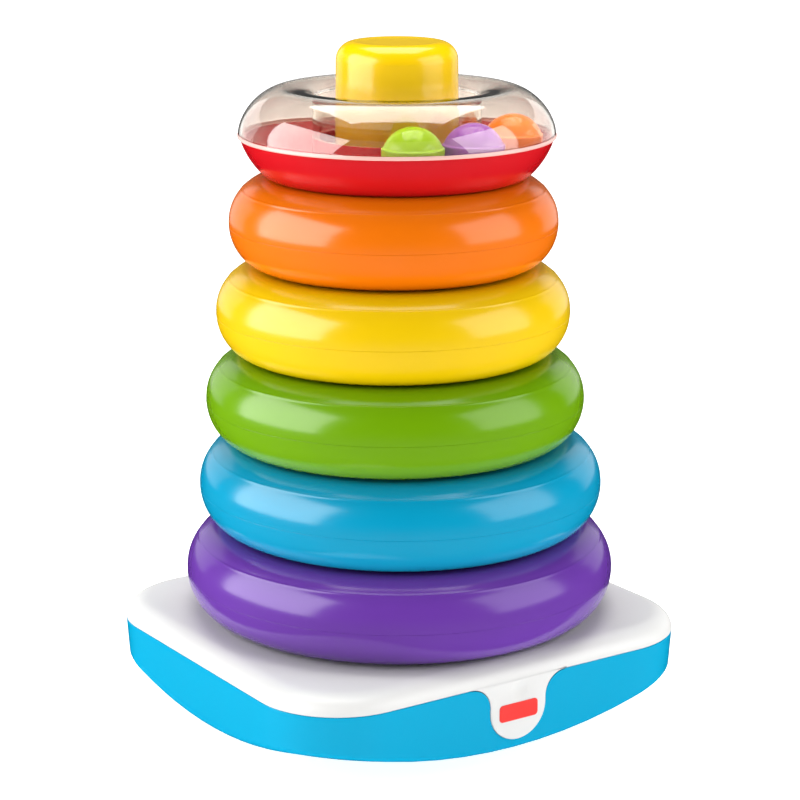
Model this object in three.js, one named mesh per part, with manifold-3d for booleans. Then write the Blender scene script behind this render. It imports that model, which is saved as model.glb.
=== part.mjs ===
// A stacking ring toy: five hollow rings and a rattle ring on a post that stands on a rocking base.
// Units are millimetres, +Z is up, and the origin is the centre of the flat foot under the base.
// The side of the base that carries the tongue faces -Y.

import * as THREE from 'three';
import { mergeVertices } from 'three/addons/utils/BufferGeometryUtils.js';
import Module from 'manifold-3d';

const wasm = await Module();
wasm.setup();

// ---------- driving dimensions ----------
const GAP = 0.3; // clearance between pieces that touch
const RADIAL_STEPS = 24; // facets round a large turned piece
const BOWL_REACH = 175; // beyond the corners of the base
const JOIN_DEPTH = 1; // how deep a boss or socket reaches into the skin it hangs from
const OVERCUT = 5; // how far a cutter reaches beyond the wall it cuts
const CORNER_SHARE = 1 - Math.SQRT1_2; // how far a rounding's middle is in from its corner

const BASE = {
  halfX: 123, // half length along X
  halfY: 109.5, // half length along Y
  corner: 45, // corner radius of the outline
  wall: 2.5,
  joinZ: 53.5, // where the top shell meets the rocker shell
  topZ: 62.8, // flat top face that carries the lowest ring
  bevel: 12, // how far the rounded top edge reaches inwards
  draft: 1.2, // how much narrower the rocker shell is at its lower edge
  rockerRadius: 324, // radius of the rounded underside
  footRadius: 31, // flat foot in the middle of the underside
};

const TONGUE = {
  halfWidth: 17, // half width of the straight part, and radius of its round end
  lowZ: 22, // lowest point of the round end
  shoulder: 12, // radius of the hollow corners where it leaves the top shell
  thickness: 3,
  notchDepth: 9, // depth of the opening it stands in, in the rocker shell
  scoopRadius: 16, // ball that cuts the shallow thumb dimple near its upper end
  scoopDepth: 1,
  scoopDrop: 6, // the scoop's middle is this far under the join of the shells
};

const LABEL = { width: 23.5, height: 9, corner: 2, thickness: 0.5, centreZ: 37.2, gap: 0.1 };

const POST = {
  bottomRadius: 34,
  topRadius: 31,
  topZ: 361.3,
  edge: 10, // rounding of the top edge
  wall: 2.5,
  floor: 8, // thick floor that takes the screws
  floorHole: 12,
  socketDepth: 8, // how deep it stands in the base
};

const RING = {
  outerRadius: 112.5, // the lowest and largest ring, at its equator
  radiusStep: 7, // each ring above is smaller by this
  firstZ: 85.5, // height of the lowest ring's equator
  pitch: 46, // height from one ring's equator to the next
  seamZ: -1.2, // the shells meet this far from the equator
  upper: { width: 28.3, height: 25.4, roundness: 2.1 }, // superellipse above the equator
  lower: { width: 19.3, height: 22.4, roundness: 2 }, // and under it
  shoulderInset: 13, // the upper curve runs in this far from the outer edge,
  easeInset: 17.5, // flattens here, this much under the seat,
  easeDrop: 0.2,
  seatInset: 22, // and is level from here
  crown: 23.3, // height of the seat that carries the next ring, above the equator
  hole: 40, // radius of the hole for the post
  holeRounding: 5.5,
  wall: 2,
};

const RATTLE = {
  rimRadius: 81.2, // outside of the dome's flange
  sideRadius: 79.8, // outside of the tray under the flange
  rimZ: 313,
  bottomZ: 293.1, // underside, on the seat of the ring below
  bottomRadius: 65.6,
  sideRoundness: 1.35, // superellipse power of the tray's side
  insideRoundness: 1.45, // and of its inner face
  wall: 1.8,
  hubOuter: 43.2,
  hubInner: 40,
  hubEdge: 3, // bevel at the foot of the hub
  lip: 1.7, // thickness of the clear dome's flange on the rim
  domeFoot: 80.8, // outside of the dome where it leaves the flange
  domeRoundness: 1.62,
  domeWall: 1.6,
  crownRadius: 60,
  crownZ: 338.5,
  wellTopZ: 333.5, // where the crown has turned down into the clear centre tube
  wellRounding: 6,
  tubeInner: 41.4, // the clear centre tube stands on the tray's hub
};

const BEAD = {
  radius: 15.5,
  orbit: 59.1, // distance of the beads from the middle of the toy
  bandHalfHeight: 5, // raised straight band round the middle of the bead
  bandEdge: 1, // height of the band's bevelled edge
};

// Where each bead lies in the rattle, as degrees round the post from +X.
const BEAD_ANGLES = { bead_green: -116.3, bead_purple: -84.7, bead_orange: -44.7 };

const SCREW = { headRadius: 3.6, headHeight: 2.4, shaftRadius: 1.9, hole: 2.2, boss: 6.5 };
const BASE_SCREW = {
  x: 92,
  y: 74,
  wellRadius: 4.6, // blind hole in the underside that the screw goes up through
  wellWall: 2.4,
  wellTopZ: 32,
  wellRoof: 3,
  length: 16,
  boreDepth: 23, // depth of the bore in the boss above
};
const POST_SCREW = { orbit: 22, length: 9 };

// The rings from the bottom of the stack to the top. The holes are wider than the post, so each
// ring lies a little to one side of it: offset is that shift along X.
const RINGS = [
  { name: 'purple_ring', colour: 0x6a35a8, offset: 1.5 },
  { name: 'blue_ring', colour: 0x00a9e0, offset: 2.1 },
  { name: 'green_ring', colour: 0x7ac41c, offset: -1.2 },
  { name: 'yellow_ring', colour: 0xffe000, offset: -2.4 },
  { name: 'orange_ring', colour: 0xff8a12, offset: -2.1 },
];

// ---------- geometry helpers ----------

function plastic(color, roughness = 0.25) {
  return new THREE.MeshStandardMaterial({ color, roughness, metalness: 0 });
}

function clearPlastic() {
  const material = plastic(0xf4f1ea, 0.05);
  material.transparent = true;
  material.opacity = 0.25;
  return material;
}

function steel() {
  return new THREE.MeshStandardMaterial({ color: 0x9a9da1, roughness: 0.35, metalness: 1 });
}

// Turns a profile of [radius, z] points round the Z axis, into a ring unless closed is false.
function turn(profile, segments = RADIAL_STEPS, closed = true) {
  const points = profile.map(([r, z]) => new THREE.Vector2(Math.max(r, 0), z));
  if (closed) points.push(points[0].clone());
  const geometry = new THREE.LatheGeometry(points, segments);
  geometry.rotateX(Math.PI / 2);
  return geometry;
}

// A solid of revolution whose profile starts and ends on the axis.
function turnSolid(profile, segments = RADIAL_STEPS) {
  return turn(profile, segments, false);
}

function disc(radius, lowZ, highZ, segments = 24) {
  return turnSolid([[0, lowZ], [radius, lowZ], [radius, highZ], [0, highZ]], segments);
}

function toManifold(geometry) {
  const bare = geometry.clone();
  bare.deleteAttribute('normal');
  bare.deleteAttribute('uv');
  const merged = mergeVertices(bare, 1e-4);
  const indices = Array.from(merged.index.array);
  const triangles = [];
  for (let i = 0; i < indices.length; i += 3) {
    const [a, b, c] = indices.slice(i, i + 3);
    if (a !== b && b !== c && c !== a) triangles.push(a, b, c);
  }
  return new wasm.Manifold(new wasm.Mesh({
    numProp: 3,
    vertProperties: new Float32Array(merged.attributes.position.array),
    triVerts: new Uint32Array(triangles),
  }));
}

function toGeometry(manifold) {
  const mesh = manifold.getMesh();
  const geometry = new THREE.BufferGeometry();
  geometry.setAttribute('position', new THREE.BufferAttribute(mesh.vertProperties, 3));
  geometry.setIndex(new THREE.BufferAttribute(mesh.triVerts, 1));
  geometry.computeVertexNormals();
  return geometry;
}

function moved(geometry, x, y, z = 0) {
  return geometry.clone().translate(x, y, z);
}

function roundedRectangle(halfX, halfY, corner) {
  const shape = new THREE.Shape();
  shape.moveTo(halfX - corner, -halfY);
  shape.absarc(halfX - corner, -halfY + corner, corner, -Math.PI / 2, 0);
  shape.absarc(halfX - corner, halfY - corner, corner, 0, Math.PI / 2);
  shape.absarc(-halfX + corner, halfY - corner, corner, Math.PI / 2, Math.PI);
  shape.absarc(-halfX + corner, -halfY + corner, corner, Math.PI, 1.5 * Math.PI);
  return shape;
}

// The base outline, drawn in by inset all round, as a prism between two heights.
function basePrism(inset, lowZ, highZ) {
  const shape = roundedRectangle(BASE.halfX - inset, BASE.halfY - inset, BASE.corner - inset);
  const prism = new THREE.ExtrudeGeometry(shape, {
    depth: highZ - lowZ, bevelEnabled: false, curveSegments: 5,
  });
  return prism.translate(0, 0, lowZ);
}

// The same prism, narrowing towards its lower edge.
function draftedPrism(inset, lowZ, highZ) {
  const prism = basePrism(inset, lowZ, highZ);
  const position = prism.attributes.position;
  for (let i = 0; i < position.count; i++) {
    if (position.getZ(i) < lowZ + 1) {
      const x = position.getX(i);
      const y = position.getY(i);
      position.setX(i, x - BASE.draft * x / BASE.halfX);
      position.setY(i, y - BASE.draft * y / BASE.halfY);
    }
  }
  return prism;
}

// Height of the rounded underside at a distance from the middle.
function rockerZ(radius) {
  const sag = (r) => BASE.rockerRadius - Math.sqrt(BASE.rockerRadius ** 2 - r ** 2);
  return Math.max(0, sag(radius) - sag(BASE.footRadius));
}

// The bowl that bounds the rocker shell from below, raised by lift.
function bowl(lift) {
  const highZ = BASE.topZ + OVERCUT;
  const profile = [[0, lift]];
  for (const radius of [BASE.footRadius, 60, 90, 115, 140, BOWL_REACH]) {
    profile.push([radius, rockerZ(radius) + lift]);
  }
  profile.push([BOWL_REACH, highZ], [0, highZ]);
  return turnSolid(profile, 32);
}

// The tongue's outline in the XZ plane: a straight strip with a round end and hollow shoulders.
function tongueShape(grow, highZ) {
  const w = TONGUE.halfWidth + grow;
  const s = TONGUE.shoulder - grow;
  const endZ = TONGUE.lowZ + TONGUE.halfWidth;
  const shoulderZ = BASE.joinZ - TONGUE.shoulder - grow;
  const shape = new THREE.Shape();
  shape.moveTo(w + s, highZ);
  shape.lineTo(-w - s, highZ);
  shape.lineTo(-w - s, shoulderZ + s);
  shape.absarc(-w - s, shoulderZ, s, Math.PI / 2, 0, true);
  shape.absarc(0, endZ, w, Math.PI, 2 * Math.PI);
  shape.absarc(w + s, shoulderZ, s, Math.PI, Math.PI / 2, true);
  return shape;
}

// An outline drawn in the XZ plane, as a plate between two values of Y.
function uprightPlate(shape, lowY, highY, curveSegments = 8) {
  const plate = new THREE.ExtrudeGeometry(shape, {
    depth: highY - lowY, bevelEnabled: false, curveSegments,
  });
  return plate.rotateX(Math.PI / 2).translate(0, highY, 0);
}

// ---------- the base ----------

function screwPlaces() {
  const places = [];
  for (const sx of [-1, 1]) {
    for (const sy of [-1, 1]) places.push([sx * BASE_SCREW.x, sy * BASE_SCREW.y]);
  }
  return places;
}

function baseRocker() {
  const top = BASE.joinZ;
  const outer = toManifold(draftedPrism(0, 0, top)).intersect(toManifold(bowl(0)));
  const inner = toManifold(basePrism(BASE.wall + BASE.draft, BASE.wall, top + OVERCUT))
    .intersect(toManifold(bowl(BASE.wall)));
  let shell = outer.subtract(inner);
  const { wellRadius, wellWall, wellTopZ, wellRoof } = BASE_SCREW;
  const pillar = disc(wellRadius + wellWall, 0, wellTopZ + wellRoof, 12);
  const well = disc(wellRadius, -OVERCUT, wellTopZ, 12);
  const hole = disc(SCREW.hole, -OVERCUT, top, 8);
  for (const [x, y] of screwPlaces()) {
    shell = shell.add(toManifold(moved(pillar, x, y)).intersect(toManifold(bowl(0))));
    shell = shell.subtract(toManifold(moved(well, x, y)));
    shell = shell.subtract(toManifold(moved(hole, x, y)));
  }
  const face = -BASE.halfY;
  const opening = tongueShape(GAP, top + OVERCUT);
  const notch = uprightPlate(opening, face - OVERCUT, face + TONGUE.notchDepth);
  return toGeometry(shell.subtract(toManifold(notch)));
}

// A rounded slab: the outline inset by the bevel, swelling to full size at the join.
function roundedSlab(inset, topZ) {
  const size = BASE.bevel - inset;
  const height = topZ - BASE.joinZ;
  const total = BASE.bevel;
  const shape = roundedRectangle(BASE.halfX - total, BASE.halfY - total, BASE.corner - total);
  const slab = new THREE.ExtrudeGeometry(shape, {
    depth: 2, bevelEnabled: true, bevelSize: size, bevelThickness: height,
    bevelSegments: 3, curveSegments: 5,
  });
  return slab.translate(0, 0, BASE.joinZ - 2);
}

function baseTop() {
  const floorZ = BASE.joinZ + GAP;
  const above = toManifold(basePrism(-OVERCUT, floorZ, BASE.topZ + OVERCUT));
  let shell = toManifold(roundedSlab(0, BASE.topZ)).intersect(above);
  shell = shell.subtract(toManifold(roundedSlab(BASE.wall, BASE.topZ - BASE.wall)));

  const socketRadius = POST.bottomRadius + GAP;
  const socketZ = BASE.topZ - POST.socketDepth;
  shell = shell.add(toManifold(disc(socketRadius + BASE.wall, socketZ - BASE.wall, BASE.topZ - JOIN_DEPTH, 24)));
  shell = shell.subtract(toManifold(disc(socketRadius, socketZ, BASE.topZ + OVERCUT, 24)));
  const socketFloorZ = socketZ - BASE.wall - OVERCUT;
  shell = shell.subtract(toManifold(disc(POST.floorHole, socketFloorZ, socketZ + OVERCUT, 16)));

  const bossLowZ = BASE_SCREW.wellTopZ + BASE_SCREW.wellRoof + GAP;
  const boss = disc(SCREW.boss, bossLowZ, BASE.topZ - JOIN_DEPTH, 12);
  const bore = disc(SCREW.hole, bossLowZ - OVERCUT, bossLowZ + BASE_SCREW.boreDepth, 8);
  for (const [x, y] of screwPlaces()) {
    shell = shell.add(toManifold(moved(boss, x, y))).subtract(toManifold(moved(bore, x, y)));
  }
  const postHole = disc(SCREW.hole, socketFloorZ, socketZ + OVERCUT, 8);
  for (const [x, y] of postScrewPlaces()) shell = shell.subtract(toManifold(moved(postHole, x, y)));

  const face = -BASE.halfY;
  const tongue = uprightPlate(tongueShape(0, BASE.joinZ + 2), face, face + TONGUE.thickness);
  shell = shell.add(toManifold(tongue));
  const scoop = new THREE.SphereGeometry(TONGUE.scoopRadius, 24, 16);
  const scoopY = face - TONGUE.scoopRadius + TONGUE.scoopDepth;
  scoop.translate(0, scoopY, BASE.joinZ - TONGUE.scoopDrop);
  return toGeometry(shell.subtract(toManifold(scoop)));
}

function badgeLabel() {
  const shape = roundedRectangle(LABEL.width / 2, LABEL.height / 2, LABEL.corner);
  const back = -BASE.halfY - LABEL.gap;
  return uprightPlate(shape, back - LABEL.thickness, back, 4).translate(0, 0, LABEL.centreZ);
}

// ---------- the post ----------

function postScrewPlaces() {
  return [45, 135, 225, 315].map((degrees) => {
    const angle = THREE.MathUtils.degToRad(degrees);
    return [POST_SCREW.orbit * Math.cos(angle), POST_SCREW.orbit * Math.sin(angle)];
  });
}

// The post's radius narrows evenly from its foot to its top.
function postRadius(z) {
  const lowZ = BASE.topZ - POST.socketDepth;
  const share = (z - lowZ) / (POST.topZ - lowZ);
  return THREE.MathUtils.lerp(POST.bottomRadius, POST.topRadius, share);
}

function post() {
  const lowZ = BASE.topZ - POST.socketDepth + GAP;
  const wall = POST.wall;
  const profile = [[POST.floorHole, lowZ], [postRadius(lowZ), lowZ]];
  for (const degrees of [0, 30, 60, 90]) {
    const angle = THREE.MathUtils.degToRad(degrees);
    const r = POST.topRadius - POST.edge * (1 - Math.cos(angle));
    profile.push([r, POST.topZ - POST.edge * (1 - Math.sin(angle))]);
  }
  profile.push([0, POST.topZ], [0, POST.topZ - wall]);
  profile.push([POST.topRadius - POST.edge, POST.topZ - wall]);
  profile.push([POST.topRadius - wall, POST.topZ - POST.edge]);
  profile.push([postRadius(lowZ) - wall, lowZ + POST.floor]);
  profile.push([POST.floorHole, lowZ + POST.floor]);
  const pilot = disc(SCREW.hole, lowZ - OVERCUT, lowZ + POST.floor + OVERCUT, 8);
  let solid = toManifold(turn(profile));
  for (const [x, y] of postScrewPlaces()) solid = solid.subtract(toManifold(moved(pilot, x, y)));
  return toGeometry(solid);
}

// ---------- the rings ----------

// A quarter of a superellipse: [in from its outer end, up from its base], from 0 to 90 degrees.
function quarterPoint(degrees, width, height, roundness) {
  const angle = THREE.MathUtils.degToRad(degrees);
  const power = 2 / roundness;
  return [width * (1 - Math.cos(angle) ** power), height * Math.sin(angle) ** power];
}

function ringPoint(part, degrees, wall = 0) {
  const [inset, height] = quarterPoint(degrees, part.width - wall, part.height - wall, part.roundness);
  return [inset + wall, height];
}

// Height of the upper curve at an inset from the outer edge.
function upperHeight(inset) {
  const { width, height, roundness } = RING.upper;
  return height * (1 - ((width - inset) / width) ** roundness) ** (1 / roundness);
}

function ringLower(radius) {
  const { hole, holeRounding: round, wall, lower } = RING;
  const seam = RING.seamZ - GAP / 2;
  const eased = round * CORNER_SHARE;
  const outer = [[hole, seam], [hole, round - lower.height], [hole + eased, eased - lower.height]];
  outer.push([hole + round, -lower.height]);
  for (const degrees of [90, 66, 45, 24]) {
    const [inset, z] = ringPoint(lower, degrees);
    outer.push([radius - inset, -z]);
  }
  outer.push([radius, seam]);
  const inner = [[radius - wall, seam]];
  for (const degrees of [45, 90]) {
    const [inset, z] = ringPoint(lower, degrees, wall);
    inner.push([radius - inset, -z]);
  }
  inner.push([hole + round + wall, wall - lower.height], [hole + wall, seam]);
  return turn([...outer, ...inner]);
}

function ringUpper(radius) {
  const { hole, holeRounding: round, wall, crown, shoulderInset, seatInset } = RING;
  const seam = RING.seamZ + GAP / 2;
  const shoulderZ = upperHeight(shoulderInset);
  const outer = [[radius, seam]];
  for (const degrees of [20, 40]) {
    const [inset, z] = ringPoint(RING.upper, degrees);
    outer.push([radius - inset, z]);
  }
  outer.push([radius - shoulderInset, shoulderZ]);
  outer.push([radius - RING.easeInset, crown - RING.easeDrop]);
  outer.push([radius - seatInset, crown], [hole + round, crown]);
  const eased = round * CORNER_SHARE;
  outer.push([hole + eased, crown - eased], [hole, crown - round], [hole, seam]);
  const inner = [[hole + wall, seam], [hole + round + wall, crown - wall]];
  inner.push([radius - seatInset, crown - wall]);
  const [inset, z] = ringPoint(RING.upper, 40, wall);
  inner.push([radius - inset, z], [radius - wall, seam]);
  return turn([...outer, ...inner]);
}

// ---------- the rattle ring ----------

function rattleTray() {
  const { sideRadius, sideRoundness, insideRoundness, rimZ, wall, bottomZ, bottomRadius } = RATTLE;
  const { hubOuter, hubInner, hubEdge } = RATTLE;
  const reach = sideRadius - bottomRadius;
  const outer = [[hubInner, rimZ], [hubInner, bottomZ + hubEdge], [hubInner + hubEdge, bottomZ]];
  for (const degrees of [90, 72, 50, 30, 0]) {
    const [inset, drop] = quarterPoint(degrees, reach, rimZ - bottomZ, sideRoundness);
    outer.push([sideRadius - inset, rimZ - drop]);
  }
  const inner = [];
  for (const degrees of [0, 30, 50, 72, 90]) {
    const [inset, drop] = quarterPoint(degrees, reach, rimZ - bottomZ - wall, insideRoundness);
    inner.push([sideRadius - wall - inset, rimZ - drop]);
  }
  inner.push([hubOuter, bottomZ + wall], [hubOuter, rimZ]);
  return turn([...outer, ...inner], 32);
}

// Outside of the clear dome, from its foot over the crown to the top of its centre tube.
function domeOutline(thickness) {
  const { crownRadius, crownZ, tubeInner, wellTopZ, rimZ, lip, domeFoot, domeRoundness } = RATTLE;
  const footZ = rimZ + lip;
  const points = [];
  for (const degrees of [0, 20, 38, 56, 73, 90]) {
    const reach = domeFoot - crownRadius - thickness;
    const [inset, rise] = quarterPoint(degrees, reach, crownZ - footZ - thickness, domeRoundness);
    points.push([domeFoot - thickness - inset, footZ + rise]);
  }
  const rollOver = (crownZ - wellTopZ) / 4;
  points.push([tubeInner + thickness + RATTLE.wellRounding, crownZ - thickness - rollOver]);
  points.push([tubeInner + thickness, wellTopZ - thickness]);
  return points;
}

function rattleDome() {
  const { rimRadius, rimZ, lip, domeWall, tubeInner } = RATTLE;
  const foot = rimZ + GAP;
  const outside = domeOutline(0);
  const inside = domeOutline(domeWall).reverse();
  return turn([
    [rimRadius, foot], [rimRadius, rimZ + lip], ...outside,
    [tubeInner, foot], [tubeInner + domeWall, foot], ...inside,
    [inside.at(-1)[0], foot],
  ]);
}

// A ball with a straight band round its middle.
function bead() {
  const { radius, bandHalfHeight, bandEdge } = BEAD;
  const edge = bandHalfHeight + bandEdge;
  const upperHalf = [[radius, bandHalfHeight], [Math.sqrt(radius ** 2 - edge ** 2), edge]];
  for (const degrees of [45, 68]) {
    const angle = THREE.MathUtils.degToRad(degrees);
    upperHalf.push([radius * Math.cos(angle), radius * Math.sin(angle)]);
  }
  upperHalf.push([0, radius]);
  const lowerHalf = upperHalf.map(([r, z]) => [r, -z]).reverse();
  return turnSolid([...lowerHalf, ...upperHalf], 12);
}

// ---------- the screws ----------

// A pan-head screw that points up, with the underside of its head at z = 0.
function screw(length) {
  const { headRadius, headHeight, shaftRadius } = SCREW;
  return turnSolid([
    [0, -headHeight], [headRadius * 0.7, -headHeight], [headRadius, -headHeight * 0.4],
    [headRadius, 0], [shaftRadius, 0], [shaftRadius, length - 2], [0, length],
  ], 8);
}

// ---------- the assembly ----------

const group = new THREE.Group();

function place(name, geometry, material, x = 0, y = 0, z = 0) {
  const mesh = new THREE.Mesh(geometry, material);
  mesh.name = name;
  mesh.position.set(x, y, z);
  group.add(mesh);
}

place('base_rocker', baseRocker(), plastic(0x00a9e0));
place('base_top', baseTop(), plastic(0xf3f3f1, 0.35));
place('badge_label', badgeLabel(), plastic(0xd8231f, 0.4));
place('post', post(), plastic(0xffe000));

RINGS.forEach(({ name, colour, offset }, i) => {
  const radius = RING.outerRadius - i * RING.radiusStep;
  const z = RING.firstZ + i * RING.pitch;
  place(`${name}_lower`, ringLower(radius), plastic(colour), offset, 0, z);
  place(`${name}_upper`, ringUpper(radius), plastic(colour), offset, 0, z);
});

place('rattle_tray', rattleTray(), plastic(0xe01020));
place('rattle_dome', rattleDome(), clearPlastic());

const beadColours = { bead_green: 0x84c81a, bead_purple: 0x7d45c0, bead_orange: 0xff7a1a };
const beadZ = RATTLE.bottomZ + RATTLE.wall + GAP + BEAD.radius;
for (const [name, degrees] of Object.entries(BEAD_ANGLES)) {
  const angle = THREE.MathUtils.degToRad(degrees);
  const x = BEAD.orbit * Math.cos(angle);
  const y = BEAD.orbit * Math.sin(angle);
  place(name, bead(), plastic(beadColours[name]), x, y, beadZ);
}

screwPlaces().forEach(([x, y], i) => {
  place(`base_screw_${i + 1}`, screw(BASE_SCREW.length), steel(), x, y, BASE_SCREW.wellTopZ - GAP);
});
postScrewPlaces().forEach(([x, y], i) => {
  const seatZ = BASE.topZ - POST.socketDepth - BASE.wall - GAP;
  place(`post_screw_${i + 1}`, screw(POST_SCREW.length), steel(), x, y, seatZ);
});

export default group;
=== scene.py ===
"""Looks for a stacking ring toy: glossy moulded rings on a rocking base, under a clear-topped rattle ring."""
import math

import bmesh
import bpy
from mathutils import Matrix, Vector


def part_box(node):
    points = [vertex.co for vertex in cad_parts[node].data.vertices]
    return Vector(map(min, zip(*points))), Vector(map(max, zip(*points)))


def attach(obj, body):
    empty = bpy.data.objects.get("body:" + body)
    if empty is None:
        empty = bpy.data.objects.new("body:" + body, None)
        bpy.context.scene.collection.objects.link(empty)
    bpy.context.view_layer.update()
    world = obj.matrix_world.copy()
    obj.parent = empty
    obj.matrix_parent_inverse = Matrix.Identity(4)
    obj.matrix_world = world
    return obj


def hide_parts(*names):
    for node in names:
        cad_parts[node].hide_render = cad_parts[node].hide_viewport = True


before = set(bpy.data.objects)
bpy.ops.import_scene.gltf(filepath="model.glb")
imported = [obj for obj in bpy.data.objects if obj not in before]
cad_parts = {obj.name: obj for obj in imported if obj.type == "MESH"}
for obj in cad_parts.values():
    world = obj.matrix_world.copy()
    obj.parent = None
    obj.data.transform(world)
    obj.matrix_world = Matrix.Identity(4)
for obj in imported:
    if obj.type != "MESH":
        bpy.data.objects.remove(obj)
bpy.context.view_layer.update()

MM = 0.001
TURN_STEPS = 160
RING_NAMES = ["purple_ring", "blue_ring", "green_ring", "yellow_ring", "orange_ring"]


# ---------- profiles and mesh building ----------

def arc(centre, radius, start, end, steps):
    """Points [r, z] on a circular arc, angles in degrees from the +r direction."""
    points = []
    for i in range(steps + 1):
        angle = math.radians(start + (end - start) * i / steps)
        points.append((centre[0] + radius * math.cos(angle), centre[1] + radius * math.sin(angle)))
    return points


def line(start, end, steps):
    """Points from start to end, both included."""
    points = []
    for i in range(steps + 1):
        t = i / steps
        points.append((start[0] + (end[0] - start[0]) * t, start[1] + (end[1] - start[1]) * t))
    return points


def quarter(width, height, power, start, end, steps):
    """Points (inset, rise) on a quarter superellipse: 0 degrees is its outermost point and 90 its highest."""
    points = []
    for i in range(steps + 1):
        angle = math.radians(start + (end - start) * i / steps)
        points.append((
            width * (1 - abs(math.cos(angle)) ** (2 / power)),
            height * abs(math.sin(angle)) ** (2 / power),
        ))
    return points


def without_repeats(points, closed):
    """The points with each run of equal ones cut to one, and with no repeat of the first at a closed end."""
    kept = []
    for p in points:
        if not kept or math.dist(p, kept[-1]) > 1e-6:
            kept.append(p)
    if closed and math.dist(kept[0], kept[-1]) < 1e-6:
        kept.pop()
    return kept


def mesh_object(name, bm):
    """A smooth-shaded object from a bmesh, with its faces turned outwards."""
    bmesh.ops.recalc_face_normals(bm, faces=bm.faces)
    mesh = bpy.data.meshes.new(name)
    bm.to_mesh(mesh)
    bm.free()
    for polygon in mesh.polygons:
        polygon.use_smooth = True
    obj = bpy.data.objects.new(name, mesh)
    bpy.context.scene.collection.objects.link(obj)
    return obj


def turned(name, profile, centre=(0, 0), steps=TURN_STEPS):
    """Turns a profile of (radius, z) in metres round a vertical axis at centre. A profile that starts and
    ends on the axis makes a solid of revolution, and any other profile closes on itself."""
    on_axis = profile[0][0] < 1e-9 and profile[-1][0] < 1e-9
    points = without_repeats(profile, not on_axis)
    bm = bmesh.new()
    loops = []
    for r, z in points:
        if r < 1e-9:
            loops.append([bm.verts.new((centre[0], centre[1], z))])
            continue
        loop = []
        for i in range(steps):
            angle = 2 * math.pi * i / steps
            loop.append(bm.verts.new((centre[0] + r * math.cos(angle), centre[1] + r * math.sin(angle), z)))
        loops.append(loop)
    pairs = list(zip(loops, loops[1:]))
    if not on_axis:
        pairs.append((loops[-1], loops[0]))
    for a, b in pairs:
        for i in range(steps):
            j = (i + 1) % steps
            corners = [a[i % len(a)], a[j % len(a)], b[j % len(b)], b[i % len(b)]]
            bm.faces.new(list(dict.fromkeys(corners)))
    return mesh_object(name, bm)


def outline(half_x, half_y, corner, corner_steps=20, side_steps=10):
    """A rounded rectangle as points (x, y), counter-clockwise, as many of them whatever its size."""
    points = []
    for k, (sx, sy) in enumerate([(1, -1), (1, 1), (-1, 1), (-1, -1)]):
        cx, cy = sx * (half_x - corner), sy * (half_y - corner)
        points += arc((cx, cy), corner, -90 + 90 * k, 90 * k, corner_steps)
        nx, ny = [(1, 1), (-1, 1), (-1, -1), (1, -1)][k]
        far = (nx * (half_x - corner), ny * (half_y - corner))
        end_angle = math.radians(90 * k)
        start = points[-1]
        end = (far[0] + corner * math.cos(end_angle), far[1] + corner * math.sin(end_angle))
        points += line(start, end, side_steps)[1:-1]
    return points


def lofted(name, levels, bottom_point, top_point):
    """Joins rings of points, listed from the bottom up, and closes each end with a fan to a point."""
    bm = bmesh.new()
    loops = [[bm.verts.new(p) for p in level] for level in levels]
    for a, b in zip(loops, loops[1:]):
        for i in range(len(a)):
            j = (i + 1) % len(a)
            bm.faces.new((a[i], a[j], b[j], b[i]))
    for loop, tip in ((loops[0], bottom_point), (loops[-1], top_point)):
        vertex = bm.verts.new(tip)
        for i in range(len(loop)):
            bm.faces.new((loop[i], loop[(i + 1) % len(loop)], vertex))
    return mesh_object(name, bm)


def plate(name, points, back_y, front_y, ease):
    """A plate from an outline in the XZ plane, with its front edge eased over by a small rounding."""
    normals = []
    for i, p in enumerate(points):
        before, after = points[i - 1], points[(i + 1) % len(points)]
        along = Vector((after[0] - before[0], after[1] - before[1])).normalized()
        normals.append(Vector((along.y, -along.x)))
    bm = bmesh.new()
    levels = [(0.0, back_y)]
    for i in range(5):
        angle = math.pi / 2 * i / 4
        levels.append((ease * (1 - math.cos(angle)), front_y + ease * (1 - math.sin(angle))))
    loops = []
    for inset, y in levels:
        loop = [bm.verts.new((p[0] - n.x * inset, y, p[1] - n.y * inset)) for p, n in zip(points, normals)]
        loops.append(loop)
    for a, b in zip(loops, loops[1:]):
        for i in range(len(a)):
            j = (i + 1) % len(a)
            bm.faces.new((a[i], a[j], b[j], b[i]))
    bm.faces.new(loops[0])
    bm.faces.new(loops[-1])
    return mesh_object(name, bm)


def boolean(obj, other, operation):
    """Applies a boolean between two objects and removes the second."""
    modifier = obj.modifiers.new("cut", "BOOLEAN")
    modifier.object = other
    modifier.operation = operation
    modifier.solver = "EXACT"
    depsgraph = bpy.context.evaluated_depsgraph_get()
    mesh = bpy.data.meshes.new_from_object(obj.evaluated_get(depsgraph))
    obj.modifiers.clear()
    old = obj.data
    obj.data = mesh
    bpy.data.meshes.remove(old)
    bpy.data.objects.remove(other)


def smooth_by_angle(obj, degrees=35):
    """Smooth shading, with edges sharper than the angle kept crisp."""
    for polygon in obj.data.polygons:
        polygon.use_smooth = True
    obj.data.set_sharp_from_angle(angle=math.radians(degrees))


def middle_of(low, high):
    """The middle (x, y) of a box."""
    return (low.x + high.x) / 2, (low.y + high.y) / 2


def piece(obj, body, slot, material, *nodes):
    """Makes an object stand for CAD nodes, with its material and its body. The slot argument is not used."""
    obj.data.materials.clear()
    obj.data.materials.append(material)
    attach(obj, body)
    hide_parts(*nodes)
    return obj


# ---------- materials ----------

def new_material(name):
    """A material with nodes, and its tree and shader."""
    material = bpy.data.materials.new(name)
    material.use_nodes = True
    tree = material.node_tree
    return material, tree, tree.nodes["Principled BSDF"]


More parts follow.
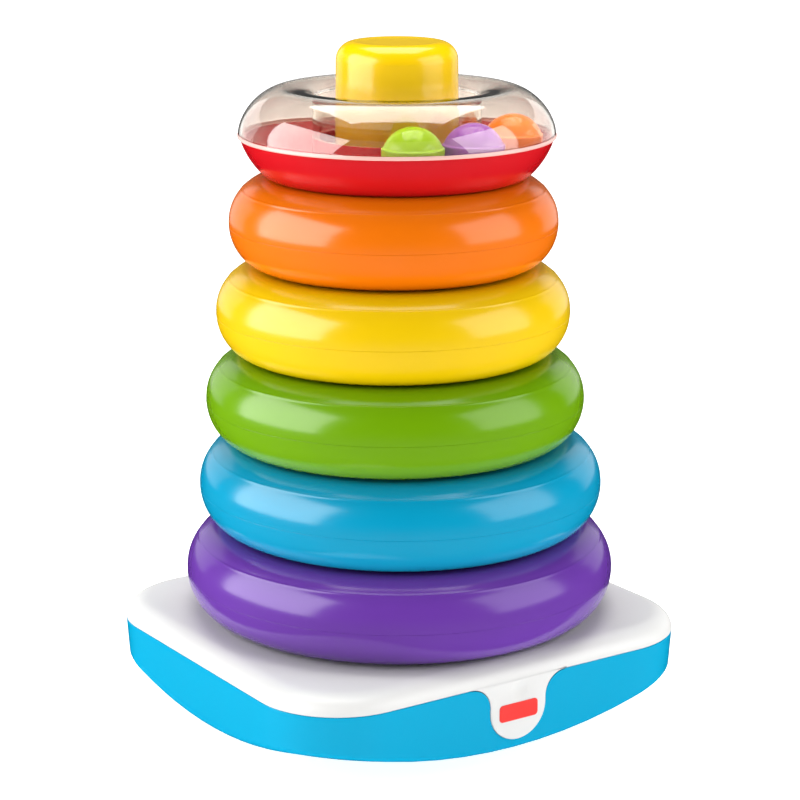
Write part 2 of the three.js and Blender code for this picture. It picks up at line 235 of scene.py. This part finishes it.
def noise(tree, scale, detail=2, roughness=0.5):
    """Noise over the object's own coordinates, as an output from 0 to 1."""
    place = tree.nodes.new("ShaderNodeTexCoord")
    texture = tree.nodes.new("ShaderNodeTexNoise")
    texture.inputs["Scale"].default_value = scale
    texture.inputs["Detail"].default_value = detail
    texture.inputs["Roughness"].default_value = roughness
    tree.links.new(place.outputs["Object"], texture.inputs["Vector"])
    return texture.outputs["Fac"]


def colour_between(tree, value, low, high, socket):
    """Drives a colour socket from one colour to another."""
    mix = tree.nodes.new("ShaderNodeMix")
    mix.data_type = "RGBA"
    mix.inputs["A"].default_value = (*low, 1)
    mix.inputs["B"].default_value = (*high, 1)
    tree.links.new(value, mix.inputs["Factor"])
    tree.links.new(mix.outputs["Result"], socket)


def number_between(tree, value, low, high, socket, value_from=0.0, value_to=1.0):
    """Drives a number socket from low to high, as value goes from value_from to value_to."""
    spread = tree.nodes.new("ShaderNodeMapRange")
    spread.inputs["From Min"].default_value = value_from
    spread.inputs["From Max"].default_value = value_to
    spread.inputs["To Min"].default_value = low
    spread.inputs["To Max"].default_value = high
    tree.links.new(value, spread.inputs["Value"])
    tree.links.new(spread.outputs["Result"], socket)


def bump(tree, height, strength, distance, socket):
    """Drives a normal socket from a height, and returns the bump's own normal socket for a second layer."""
    node = tree.nodes.new("ShaderNodeBump")
    node.inputs["Strength"].default_value = strength
    node.inputs["Distance"].default_value = distance
    tree.links.new(height, node.inputs["Height"])
    tree.links.new(node.outputs["Normal"], socket)
    return node.inputs["Normal"]


def scaled(colour, factor):
    """A colour made darker or lighter, up to full brightness."""
    return [min(1, c * factor) for c in colour]


def plastic(name, colour, roughness=0.19, specular=0.5, variation=0.04):
    """Moulded plastic: faint cloudy pigment, slightly uneven gloss, faint sinks and a fine moulded skin."""
    material, tree, shader = new_material(name)
    shader.inputs["IOR"].default_value = 1.5
    shader.inputs["Specular IOR Level"].default_value = specular
    pigment = noise(tree, scale=14, detail=4)
    low, high = scaled(colour, 1 - variation), scaled(colour, 1 + variation)
    colour_between(tree, pigment, low, high, shader.inputs["Base Color"])
    smudge = noise(tree, scale=38, detail=6, roughness=0.65)
    number_between(tree, smudge, roughness * 0.93, roughness * 1.1, shader.inputs["Roughness"], 0.3, 0.75)
    sinks = noise(tree, scale=22, detail=1)
    under = bump(tree, sinks, 0.08, 2 * MM, shader.inputs["Normal"])
    skin = noise(tree, scale=420, detail=3)
    bump(tree, skin, 0.012, 0.4 * MM, under)
    return material


def clear_plastic(name, tint, roughness=0.03):
    """Clear polished plastic with faint flow ripples, which lets light through to what is under it."""
    material, tree, shader = new_material(name)
    shader.inputs["Transmission Weight"].default_value = 1.0
    shader.inputs["Coat Weight"].default_value = 0.4
    shader.inputs["Coat Roughness"].default_value = 0.03
    shader.inputs["IOR"].default_value = 1.49
    cloud = noise(tree, scale=30)
    colour_between(tree, cloud, scaled(tint, 0.97), tint, shader.inputs["Base Color"])
    number_between(tree, cloud, roughness * 0.6, roughness * 1.4, shader.inputs["Roughness"])
    ripples = noise(tree, scale=26, detail=1)
    bump(tree, ripples, 0.06, 2 * MM, shader.inputs["Normal"])

    lit_through = tree.nodes.new("ShaderNodeBsdfTransparent")
    lit_through.inputs["Color"].default_value = (*scaled(tint, 0.9), 1)
    path = tree.nodes.new("ShaderNodeLightPath")
    choice = tree.nodes.new("ShaderNodeMixShader")
    tree.links.new(path.outputs["Is Shadow Ray"], choice.inputs["Fac"])
    tree.links.new(shader.outputs["BSDF"], choice.inputs[1])
    tree.links.new(lit_through.outputs["BSDF"], choice.inputs[2])
    tree.links.new(choice.outputs["Shader"], tree.nodes["Material Output"].inputs["Surface"])
    return material


def plated_steel(name):
    """Zinc-plated screw steel with a fine grain."""
    material, tree, shader = new_material(name)
    shader.inputs["Metallic"].default_value = 1.0
    grain = noise(tree, scale=900)
    colour_between(tree, grain, (0.48, 0.48, 0.50), (0.66, 0.66, 0.66), shader.inputs["Base Color"])
    number_between(tree, grain, 0.25, 0.45, shader.inputs["Roughness"])
    return material


COLOURS = {
    "purple_ring": (0.102, 0.029, 0.26),
    "blue_ring": (0.0, 0.23, 0.385),
    "green_ring": (0.114, 0.262, 0.0005),
    "yellow_ring": (0.60, 0.39, 0.0005),
    "orange_ring": (0.60, 0.122, 0.0005),
    "rocker": (0.0, 0.27, 0.45),
    "top": (0.56, 0.557, 0.547),
    "label": (0.72, 0.02, 0.015),
    "post": (0.73, 0.47, 0.0005),
    "tray": (0.43, 0.002, 0.006),
    "dome": (0.86, 0.81, 0.74),
    "weld": (0.62, 0.36, 0.32),
    "bead_green": (0.30, 0.54, 0.01),
    "bead_purple": (0.30, 0.10, 0.50),
    "bead_orange": (0.93, 0.24, 0.015),
}

# ---------- the rings ----------

CAD_GAP = 0.3 * MM  # clearance between the CAD nodes that touch
SEAM = 0.03 * MM  # gap between a ring's two shells
SEAM_DROP = 1.2 * MM  # the seam is this far under the ring's widest point
SEAM_EASE = 0.12 * MM  # rounding of each shell's edge at the seam
UPPER_SECTION = (28.3 * MM, 25.4 * MM, 2.1)  # half width, height and superellipse power over the widest point
LOWER_SECTION = (19.3 * MM, 22.4 * MM, 2.0)  # and under it
SHELL = 2.0 * MM
HOLE = 40 * MM
HOLE_ROUNDING = 5.5 * MM
SHOULDER_INSET = 13 * MM  # the upper curve runs in this far from the outer edge
SEAT_INSET = 22 * MM  # and has eased into the flat seat of the next ring here
RIDGE_INSET = 6.7 * MM  # from the outer edge to the fine ridge round the upper face
RIDGE_HEIGHT = 0.16 * MM
RIDGE_SPREAD = 0.5 * MM


def shoulder_angle():
    """The angle at which the upper section reaches the shoulder."""
    width, _, power = UPPER_SECTION
    return math.degrees(math.acos(((width - SHOULDER_INSET) / width) ** (power / 2)))


def eased_shoulder(start, slope, end, steps):
    """A curve (inset, rise) that leaves start at a slope and arrives level at end."""
    reach, rise = end[0] - start[0], end[1] - start[1]
    points = []
    for i in range(1, steps + 1):
        t = i / steps
        lift = rise * (3 * t ** 2 - 2 * t ** 3) + reach * slope * (t - 2 * t ** 2 + t ** 3)
        points.append((start[0] + reach * t, start[1] + lift))
    return points


def upper_face(crown):
    """The upper shell's outer face, as (inset, rise) from the widest point to the edge of the flat seat."""
    curve = quarter(*UPPER_SECTION, 2, shoulder_angle(), 160)
    ridged = []
    for inset, rise in curve:
        lift = RIDGE_HEIGHT * math.exp(-(((inset - RIDGE_INSET) / RIDGE_SPREAD) ** 2)) * math.sqrt(0.5)
        ridged.append((inset - lift, rise + lift))
    before, last = curve[-2:]
    slope = (last[1] - before[1]) / (last[0] - before[0])
    return ridged + eased_shoulder(last, slope, (SEAT_INSET, crown), 16)


def lower_profile(outer):
    """The lower shell upside down: z grows downwards from the widest point."""
    depth = LOWER_SECTION[1]
    top = SEAM_DROP + SEAM / 2
    inner = (LOWER_SECTION[0] - SHELL, depth - SHELL, LOWER_SECTION[2])
    return [
        *arc((outer - SEAM_EASE, top + SEAM_EASE), SEAM_EASE, -90, 0, 5),
        *[(outer - inset, z) for inset, z in quarter(*LOWER_SECTION, 5, 90, 48)],
        *arc((HOLE + HOLE_ROUNDING, depth - HOLE_ROUNDING), HOLE_ROUNDING, 90, 180, 12),
        (HOLE, top),
        (HOLE + SHELL, top),
        (HOLE + SHELL, depth - HOLE_ROUNDING),
        (HOLE + HOLE_ROUNDING, depth - SHELL),
        *[(outer - SHELL - inset, z) for inset, z in quarter(*inner, 90, 6, 16)],
        (outer - SHELL, top),
    ]


def upper_profile(outer, crown):
    """The upper shell. z grows upwards from the widest point, and crown is the height of the seat."""
    low = SEAM / 2 - SEAM_DROP
    width, height, power = UPPER_SECTION
    inner = quarter(width - SHELL, height - SHELL, power, 45, 0, 12)
    return [
        *arc((outer - SEAM_EASE, low + SEAM_EASE), SEAM_EASE, -90, 0, 5),
        *[(outer - inset, z) for inset, z in upper_face(crown)],
        *arc((HOLE + HOLE_ROUNDING, crown - HOLE_ROUNDING), HOLE_ROUNDING, 90, 180, 12),
        (HOLE, low),
        (HOLE + SHELL, low),
        (HOLE + SHELL, crown - HOLE_ROUNDING),
        (HOLE + HOLE_ROUNDING, crown - SHELL),
        (outer - SEAT_INSET, crown - SHELL),
        *[(outer - SHELL - inset, z) for inset, z in inner],
        (outer - SHELL, low),
    ]


def make_ring(name):
    low, seam_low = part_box(f"{name}_lower")
    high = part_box(f"{name}_upper")[1]
    outer = (seam_low.x - low.x) / 2
    centre = middle_of(low, seam_low)
    middle = seam_low.z + CAD_GAP / 2 + SEAM_DROP
    slot = "ring_" + name.split("_")[0]
    material = plastic(f"{name}_plastic", COLOURS[name])
    upper = [(r, middle + z) for r, z in upper_profile(outer, high.z - middle)]
    lower = [(r, middle - z) for r, z in lower_profile(outer)]
    piece(turned(f"{name}_upper_shell", upper, centre), name, slot, material, f"{name}_upper")
    piece(turned(f"{name}_lower_shell", lower, centre), name, slot, material, f"{name}_lower")


# ---------- the base ----------

BASE_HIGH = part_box("base_rocker")[1]
TOP_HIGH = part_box("base_top")[1]
HALF_X = BASE_HIGH.x
HALF_Y = BASE_HIGH.y
CORNER = 45 * MM
JOIN_Z = BASE_HIGH.z
TOP_Z = TOP_HIGH.z
BEVEL = 12 * MM
DRAFT = 1.2 * MM
ROCKER_RADIUS = 324 * MM
FOOT_RADIUS = 31 * MM
ROCKER_EDGE = 2.5 * MM
JOIN_GAP = 0.1 * MM  # between the base's two shells
JOIN_EASE = 0.3 * MM  # rounding of each base shell's edge at the join
JOIN_LEDGE = 3 * MM  # inset of the last level before each shell closes over the join
TONGUE_HALF = 17 * MM
TONGUE_LOW = 22 * MM
TONGUE_SHOULDER = 12 * MM
TONGUE_THICKNESS = 3 * MM
TONGUE_EASE = 0.5 * MM
TONGUE_ROOT = 0.8 * MM  # how far its strip reaches up into the top shell
NOTCH_GAP = 0.2 * MM  # round the tongue, in the rocker's side
OVERCUT = 5 * MM
NO_EASE = 0.0001 * MM  # as good as a sharp edge, for a plate that only cuts
SCOOP_RADIUS = 16 * MM
SCOOP_DEPTH = 1 * MM
SCOOP_Z = JOIN_Z - 6 * MM
WELL_RADIUS = 4.6 * MM
WELL_CLEARANCE = 3 * MM  # how far each well goes past the screw's underside
SOCKET_GAP = 0.3 * MM


def rocker_height(x, y):
    """Height of the rounded underside, which is flat over the foot."""
    def sag(r):
        return ROCKER_RADIUS - math.sqrt(ROCKER_RADIUS ** 2 - r ** 2)
    return max(0.0, sag(math.hypot(x, y)) - sag(FOOT_RADIUS))


def base_outline(inset):
    return outline(HALF_X - inset, HALF_Y - inset, CORNER - inset)


def tongue_points(grow, top_z):
    """The tongue's outline in the XZ plane: a strip with a round end and hollow shoulders."""
    w = TONGUE_HALF + grow
    s = TONGUE_SHOULDER - grow
    end_z = TONGUE_LOW + TONGUE_HALF
    shoulder_z = JOIN_Z - TONGUE_SHOULDER - grow
    return without_repeats([
        *line((w + s, top_z), (-w - s, top_z), 12),
        *arc((-w - s, shoulder_z), s, 90, 0, 14),
        *arc((0, end_z), w, 180, 360, 36),
        *arc((w + s, shoulder_z), s, 180, 90, 14),
    ], True)


def make_rocker(material):
    levels = []
    rim = base_outline(DRAFT + ROCKER_EDGE)
    for share in (0.08, 0.16, 0.24, 0.35, 0.5, 0.65, 0.8, 0.9):
        levels.append([(x * share, y * share, rocker_height(x * share, y * share)) for x, y in rim])
    for i in range(9):
        angle = math.pi / 2 * i / 8
        points = base_outline(DRAFT + ROCKER_EDGE * (1 - math.sin(angle)))
        lift = ROCKER_EDGE * (1 - math.cos(angle))
        levels.append([(x, y, rocker_height(x, y) + lift) for x, y in points])
    side_top = JOIN_Z - JOIN_EASE
    edge = levels[-1]
    for i in range(1, 9):
        t = i / 8
        points = base_outline(DRAFT * (1 - t))
        levels.append([(x, y, low[2] + (side_top - low[2]) * t) for (x, y), low in zip(points, edge)])
    levels.append([(x, y, JOIN_Z) for x, y in base_outline(JOIN_EASE)])
    levels.append([(x, y, JOIN_Z) for x, y in base_outline(JOIN_LEDGE)])
    rocker = lofted("base_rocker_shell", levels, (0, 0, 0), (0, 0, JOIN_Z))
    notch_back = -HALF_Y + TONGUE_THICKNESS + 2 * NOTCH_GAP
    notch_points = tongue_points(NOTCH_GAP, JOIN_Z + OVERCUT)
    boolean(rocker, plate("notch", notch_points, notch_back, -HALF_Y - OVERCUT, NO_EASE), "DIFFERENCE")
    smooth_by_angle(rocker)
    for i in range(1, 5):
        low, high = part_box(f"base_screw_{i}")
        well_top = low.z + WELL_CLEARANCE
        well = [(0, -MM), (WELL_RADIUS, -MM), (WELL_RADIUS, well_top), (0, well_top)]
        boolean(rocker, turned("well", well, middle_of(low, high), 48), "DIFFERENCE")
    smooth_by_angle(rocker)
    return piece(rocker, "base", "rocker_blue", material, "base_rocker")


def make_top(material):
    floor_z = JOIN_Z + JOIN_GAP
    levels = [[(x, y, floor_z) for x, y in base_outline(JOIN_LEDGE)]]
    levels.append([(x, y, floor_z) for x, y in base_outline(JOIN_EASE)])
    for i in range(17):
        angle = math.pi / 2 * i / 16
        inset = BEVEL * (1 - math.cos(angle))
        z = floor_z + JOIN_EASE + (TOP_Z - floor_z - JOIN_EASE) * math.sin(angle)
        levels.append([(x, y, z) for x, y in base_outline(inset)])
    inner = base_outline(BEVEL)
    for share in (0.98, 0.85, 0.6, 0.45):
        levels.append([(x * share, y * share, TOP_Z) for x, y in inner])
    top = lofted("base_top_shell", levels, (0, 0, floor_z), (0, 0, TOP_Z))
    strip = tongue_points(0, JOIN_Z + TONGUE_ROOT)
    tongue = plate("tongue", strip, -HALF_Y + TONGUE_THICKNESS, -HALF_Y, TONGUE_EASE)
    boolean(top, tongue, "UNION")
    scoop_centre = (0, -HALF_Y - SCOOP_RADIUS + SCOOP_DEPTH)
    scoop = [(abs(r), z) for r, z in arc((0, SCOOP_Z), SCOOP_RADIUS, -90, 90, 48)]
    boolean(top, turned("scoop", scoop, scoop_centre, 96), "DIFFERENCE")
    post_low, post_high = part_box("post")
    socket_r = post_high.x + SOCKET_GAP
    socket = [(0, post_low.z), (socket_r, post_low.z), (socket_r, TOP_Z + MM), (0, TOP_Z + MM)]
    boolean(top, turned("socket", socket), "DIFFERENCE")
    smooth_by_angle(top, 30)
    return piece(top, "base", "top_white", material, "base_top")


def make_label(material):
    low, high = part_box("badge_label")
    half_x, half_z = (high.x - low.x) / 2, (high.z - low.z) / 2
    middle = (high.z + low.z) / 2
    corner = 2 * MM
    ease = 0.15 * MM
    front = low.y + 0.2 * MM
    points = [(x, middle + z) for x, z in outline(half_x, half_z, corner, 10, 6)]
    label = plate("badge_label_film", without_repeats(points, True), -HALF_Y, front, ease)
    smooth_by_angle(label)
    return piece(label, "base", "label_red", material, "badge_label")


def make_post(material):
    low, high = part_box("post")
    foot_r = high.x
    foot_edge = MM
    top_r = 31 * MM
    edge = 9.5 * MM
    dish = 0.35 * MM
    rim = top_r - edge
    crown = []
    for i in range(13):
        t = i / 12
        crown.append((rim * (1 - t), high.z - dish * math.sin(math.pi / 2 * min(1, 4 * t)) ** 2))
    profile = [
        (0, low.z),
        *arc((foot_r - foot_edge, low.z + foot_edge), foot_edge, -90, 0, 6),
        *line((foot_r, low.z + 2 * foot_edge), (top_r, high.z - edge), 30),
        *arc((rim, high.z - edge), edge, 0, 90, 24),
        *crown,
    ]
    return piece(turned("post_body", profile), "base", "post_yellow", material, "post")


# ---------- the rattle ring ----------

TRAY_LOW, TRAY_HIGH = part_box("rattle_tray")
DOME_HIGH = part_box("rattle_dome")[1]
SIDE_R = TRAY_HIGH.x
RIM_R = DOME_HIGH.x
RIM_Z = TRAY_HIGH.z
TRAY_Z = TRAY_LOW.z
TRAY_WALL = 1.8 * MM
TRAY_FLOOR = TRAY_Z + TRAY_WALL
TRAY_REACH = 14.2 * MM  # how far the tray's side runs in to the flat underside
TRAY_POWER = 1.35  # superellipse power of the tray's side
TRAY_INSIDE_POWER = 1.45  # and of its inner face
HUB_OUTER = 43.2 * MM
TUBE_INNER = 41.4 * MM
CROWN_R = 58 * MM
CROWN_Z = DOME_HIGH.z
WELL_Z = CROWN_Z - 5 * MM
DOME_POWER = 1.72  # superellipse power of the dome's side
FLANGE = 0.4 * MM  # how far the welded flange stands out from the dome's foot
FLANGE_TOP = RIM_Z + 2.1 * MM
DOME_WALL = 1.6 * MM


def make_tray(material):
    hub_top = RIM_Z + 0.2 * MM
    outside = quarter(TRAY_REACH, RIM_Z - TRAY_Z, TRAY_POWER, 90, 3, 32)
    inside = quarter(TRAY_REACH, RIM_Z - TRAY_FLOOR, TRAY_INSIDE_POWER, 0, 90, 24)
    mouth = 3 * MM
    fillet = 2 * MM
    profile = [
        (HOLE, hub_top),
        *arc((HOLE + mouth, TRAY_Z + mouth), mouth, 180, 270, 8),
        *[(SIDE_R - inset, RIM_Z - drop) for inset, drop in outside],
        (SIDE_R, RIM_Z),
        *[(SIDE_R - TRAY_WALL - inset, RIM_Z - drop) for inset, drop in inside],
        *arc((HUB_OUTER + fillet, TRAY_FLOOR + fillet), fillet, 270, 180, 6),
        (HUB_OUTER, hub_top),
    ]
    tray = turned("rattle_tray_shell", profile)
    smooth_by_angle(tray, 40)
    return piece(tray, "rattle_ring", "tray_red", material, "rattle_tray")


def dome_skin(depth):
    """The dome's outer face, or the face at a depth under it, from the flange over the crown to the tube."""
    foot = RIM_R - FLANGE - depth
    side = quarter(foot - CROWN_R, CROWN_Z - depth - FLANGE_TOP, DOME_POWER, 0, 90, 32)
    points = [(foot - inset, FLANGE_TOP + rise) for inset, rise in side]
    roll_r = CROWN_R - TUBE_INNER - depth
    roll_z = CROWN_Z - WELL_Z
    for i in range(1, 21):
        angle = math.pi / 2 * i / 20
        points.append((CROWN_R - roll_r * math.sin(angle), CROWN_Z - depth - roll_z * (1 - math.cos(angle))))
    return points


def make_dome(material, weld):
    tube_foot = RIM_Z + 0.5 * MM
    flange_low = RIM_Z + 0.15 * MM
    under = dome_skin(DOME_WALL)
    profile = [
        (RIM_R - FLANGE - DOME_WALL, flange_low),
        (RIM_R - 0.4 * MM, flange_low), (RIM_R, flange_low + 0.4 * MM), (RIM_R, FLANGE_TOP - 0.5 * MM),
        (RIM_R - 0.4 * MM, FLANGE_TOP),
        *dome_skin(0), (TUBE_INNER, tube_foot), (TUBE_INNER + DOME_WALL, tube_foot), *reversed(under),
    ]
    dome = turned("rattle_dome_shell", profile, (0, 0), 192)
    smooth_by_angle(dome, 40)
    piece(dome, "rattle_ring", "dome_clear", material, "rattle_dome")
    dome.data.materials.append(weld)
    for polygon in dome.data.polygons:
        radius = math.hypot(polygon.center.x, polygon.center.y)
        if polygon.center.z < FLANGE_TOP + 0.1 * MM and radius > RIM_R - FLANGE - 0.2 * MM:
            polygon.material_index = 1
    return dome


def make_bead(colour_name):
    """A ball with a raised straight band round its middle."""
    name = f"bead_{colour_name}"
    low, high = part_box(name)
    centre = middle_of(low, high)
    middle = (low.z + high.z) / 2
    radius = (high.z - low.z) / 2
    band_top = 5.4 * MM
    edge = 0.9 * MM
    meets = math.degrees(math.asin((band_top + 0.2 * MM) / radius))
    upper = [
        *arc((radius - edge, band_top - edge), edge, 0, 80, 8),
        *arc((0, 0), radius, meets, 90, 24),
    ]
    half = [(max(r, 0), z) for r, z in upper]
    half[-1] = (0, radius)
    profile = [(r, middle - z) for r, z in reversed(half)] + [(r, middle + z) for r, z in half]
    bead = turned(f"{name}_body", profile, centre, 96)
    smooth_by_angle(bead, 50)
    return piece(bead, f"{colour_name}_bead", name, plastic(f"{name}_plastic", COLOURS[name]), name)


# ---------- the screws ----------

HEAD_HEIGHT = 2.4 * MM
SHAFT_R = 1.9 * MM
THREAD_DEPTH = 0.35 * MM
THREAD_PITCH = MM
RECESS_LENGTH = 3.4 * MM
RECESS_WIDTH = 0.8 * MM


def make_screw(name, material):
    """A pan-head screw with a cross recess, standing where its CAD node stands, head down."""
    low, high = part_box(name)
    centre = middle_of(low, high)
    head_r = (high.x - low.x) / 2
    seat = low.z + HEAD_HEIGHT
    root_r = SHAFT_R - THREAD_DEPTH
    thread = []
    for i in range(int((high.z - seat - 2 * MM) / THREAD_PITCH)):
        z = seat + THREAD_PITCH * (0.6 + i)
        thread += [(root_r, z), (SHAFT_R, z + THREAD_DEPTH), (root_r, z + 2 * THREAD_DEPTH)]
    profile = [
        (0, low.z), (head_r * 0.55, low.z), *arc((head_r * 0.55, seat - MM), head_r * 0.45, -70, 0, 6),
        (head_r, seat), (root_r, seat), *thread, (0, high.z),
    ]
    screw = turned(name + "_body", profile, centre, 32)
    for size_x, size_y in ((RECESS_LENGTH, RECESS_WIDTH), (RECESS_WIDTH, RECESS_LENGTH)):
        bm = bmesh.new()
        bmesh.ops.create_cube(bm, size=1)
        for v in bm.verts:
            v.co = (centre[0] + v.co.x * size_x, centre[1] + v.co.y * size_y, low.z + v.co.z * HEAD_HEIGHT)
        boolean(screw, mesh_object("slot", bm), "DIFFERENCE")
    smooth_by_angle(screw, 30)
    return piece(screw, "base", "screw_steel", material, name)


# ---------- the whole toy ----------

for ring in RING_NAMES:
    make_ring(ring)
make_rocker(plastic("rocker_plastic", COLOURS["rocker"], specular=0.25))
make_top(plastic("top_plastic", COLOURS["top"], 0.35, 0.4, 0.012))
make_label(plastic("label_film", COLOURS["label"], 0.35, 0.5, 0.03))
make_post(plastic("post_plastic", COLOURS["post"]))
make_tray(plastic("tray_plastic", COLOURS["tray"]))
weld = plastic("weld_plastic", COLOURS["weld"], 0.3, 0.5, 0.03)
make_dome(clear_plastic("dome_plastic", COLOURS["dome"]), weld)
for bead_colour in ("green", "purple", "orange"):
    make_bead(bead_colour)
steel = plated_steel("screw_steel")
for i in range(1, 5):
    make_screw(f"base_screw_{i}", steel)
    make_screw(f"post_screw_{i}", steel)

# ---------- floor, light and camera ----------

CAMERA_AZIMUTH = math.radians(-33.82)
CAMERA_DISTANCE = 1.248  # level distance from the post
CAMERA_HEIGHT = 0.500
CAMERA_PITCH = math.radians(14.63)  # downwards
CAMERA_LENS = 110.97
CAMERA_SHIFT = 0.00375  # sideways, as a share of the picture's width
FLOOR_HALF = 12
WALL_RADIUS = 10
WALL_HEIGHT = 8
SHINE_LEAD = 0.02  # the shine layer of a softbox stands this far in front of the fill layer


def around(azimuth, distance, height):
    """A point at an azimuth from the camera's own, positive to the camera's right."""
    angle = CAMERA_AZIMUTH + math.radians(azimuth)
    return Vector((math.sin(angle) * distance, -math.cos(angle) * distance, height))


def make_floor():
    """A pale floor that is lit from beneath, as a light table is, and more so away from the toy."""
    bm = bmesh.new()
    bmesh.ops.create_grid(bm, x_segments=4, y_segments=4, size=FLOOR_HALF)
    floor = mesh_object("floor", bm)
    material, tree, shader = new_material("floor_paper")
    shader.inputs["Base Color"].default_value = (0.8, 0.8, 0.8, 1)
    shader.inputs["Roughness"].default_value = 0.8
    shader.inputs["Emission Color"].default_value = (1, 1, 1, 1)
    place = tree.nodes.new("ShaderNodeTexCoord")
    reach = tree.nodes.new("ShaderNodeVectorMath")
    reach.operation = "LENGTH"
    tree.links.new(place.outputs["Object"], reach.inputs[0])
    number_between(tree, reach.outputs["Value"], 0.85, 1.05, shader.inputs["Emission Strength"], 0.2, 1.0)
    material.cycles.emission_sampling = "NONE"
    floor.data.materials.append(material)
    floor.visible_glossy = False


def make_backdrop():
    """A white wall all round, far off, that is seen but neither lights the toy nor shows in it."""
    inner, outer = WALL_RADIUS, WALL_RADIUS + 0.1
    section = [(inner, -0.1), (inner, WALL_HEIGHT), (outer, WALL_HEIGHT), (outer, -0.1)]
    wall = turned("backdrop", section, (0, 0), 64)
    material, _, shader = new_material("backdrop_white")
    shader.inputs["Base Color"].default_value = (0, 0, 0, 1)
    shader.inputs["Emission Color"].default_value = (1, 1, 1, 1)
    shader.inputs["Emission Strength"].default_value = 1.1
    material.cycles.emission_sampling = "NONE"
    wall.data.materials.append(material)
    wall.visible_diffuse = False
    wall.visible_glossy = False
    wall.visible_shadow = False


def softbox(side, azimuth, distance, height, size, fill, shine, aim_height):
    """An area light in two layers: fill lights the surfaces, and shine is what shows in their gloss. The
    shine layer stands a little in front, so that a ray meets it first."""
    for layer, power, lead in (("fill", fill, 0), ("shine", shine, SHINE_LEAD)):
        name = f"{side}_softbox_{layer}"
        data = bpy.data.lights.new(name, "AREA")
        data.shape = "RECTANGLE"
        data.size, data.size_y = size
        data.energy = power
        light = bpy.data.objects.new(name, data)
        light.location = around(azimuth, distance - lead, height)
        aim = Vector((0, 0, aim_height))
        light.rotation_euler = (light.location - aim).to_track_quat("Z", "Y").to_euler()
        light.visible_camera = False
        light.visible_glossy = layer == "shine"
        light.visible_diffuse = layer == "fill"
        light.visible_transmission = layer == "fill"
        bpy.context.scene.collection.objects.link(light)


make_floor()
make_backdrop()
softbox("left", -74, 1.3, 0.68, size=(1.6, 1.2), fill=26, shine=31, aim_height=0.2)
softbox("right", 72, 1.3, 0.72, size=(1.15, 1.1), fill=16, shine=9, aim_height=0.2)
softbox("top", 180, 0.4, 1.9, size=(1.5, 1.5), fill=42, shine=26, aim_height=0.25)
softbox("left_rim", -140, 1.3, 0.4, size=(0.8, 0.7), fill=1.3, shine=1.3, aim_height=0.15)
softbox("right_rim", 140, 1.3, 0.4, size=(0.8, 0.7), fill=1.3, shine=1.3, aim_height=0.15)
softbox("back", 180, 2.5, 0.65, size=(5.0, 1.2), fill=1.5, shine=1.5, aim_height=0.3)
world = bpy.data.worlds.new("studio")
world.use_nodes = True
background = world.node_tree.nodes["Background"]
background.inputs["Color"].default_value = (0.9, 0.9, 0.9, 1)
background.inputs["Strength"].default_value = 0.3
bpy.context.scene.world = world
world.cycles_visibility.glossy = False
bpy.context.scene.view_settings.view_transform = "Standard"

camera_data = bpy.data.cameras.new("camera")
camera_data.lens = CAMERA_LENS
camera_data.sensor_width = 36
camera_data.shift_x = CAMERA_SHIFT
camera = bpy.data.objects.new("camera", camera_data)
camera.location = around(0, CAMERA_DISTANCE, CAMERA_HEIGHT)
camera.rotation_euler = (math.pi / 2 - CAMERA_PITCH, 0, CAMERA_AZIMUTH)
bpy.context.scene.collection.objects.link(camera)
bpy.context.scene.camera = camera
